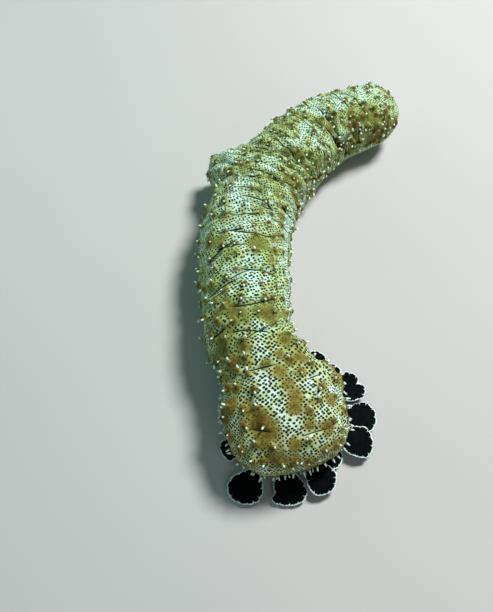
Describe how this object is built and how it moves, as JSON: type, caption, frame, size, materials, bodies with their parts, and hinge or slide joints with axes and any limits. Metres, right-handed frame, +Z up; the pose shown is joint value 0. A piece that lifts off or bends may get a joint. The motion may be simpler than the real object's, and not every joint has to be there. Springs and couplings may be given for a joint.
{
  "type": "sea cucumber",
  "caption": "Life-size still model of a creeping sea cucumber: curved spotted body with soft papillae, tube feet under the sole and lobed feeding tentacles spread round the mouth.",
  "frame": {"origin": "on the floor under the middle of the model's box", "axes": "+Z up, -Y towards the head, +Y towards the tail, +X the side the tail curls to"},
  "size_m": [0.1652, 0.3487, 0.0621],
  "materials": {
    "skin": "soft moist skin, pale yellow-cream with ochre blotches, fine black dots and white-tipped papillae",
    "mouth": "soft brown skin round the mouth",
    "tentacle": "soft black leaf with a thin white scalloped rim"
  },
  "bodies": {
    "root": {"head": "skin", "forebody": "skin", "midbody": "skin", "hindbody": "skin", "rear": "skin", "tail": "skin", "mouth": "mouth", "tentacle_01": "tentacle", "tentacle_02": "tentacle", "tentacle_03": "tentacle", "tentacle_04": "tentacle", "tentacle_05": "tentacle", "tentacle_06": "tentacle", "tentacle_07": "tentacle", "tentacle_08": "tentacle", "tentacle_09": "tentacle", "tentacle_10": "tentacle", "tentacle_11": "tentacle", "tentacle_12": "tentacle", "tentacle_13": "tentacle", "tentacle_14": "tentacle", "tentacle_15": "tentacle", "tentacle_16": "tentacle", "tentacle_17": "tentacle", "tentacle_18": "tentacle", "tentacle_19": "tentacle", "tentacle_20": "tentacle"}
  },
  "joints": []
}
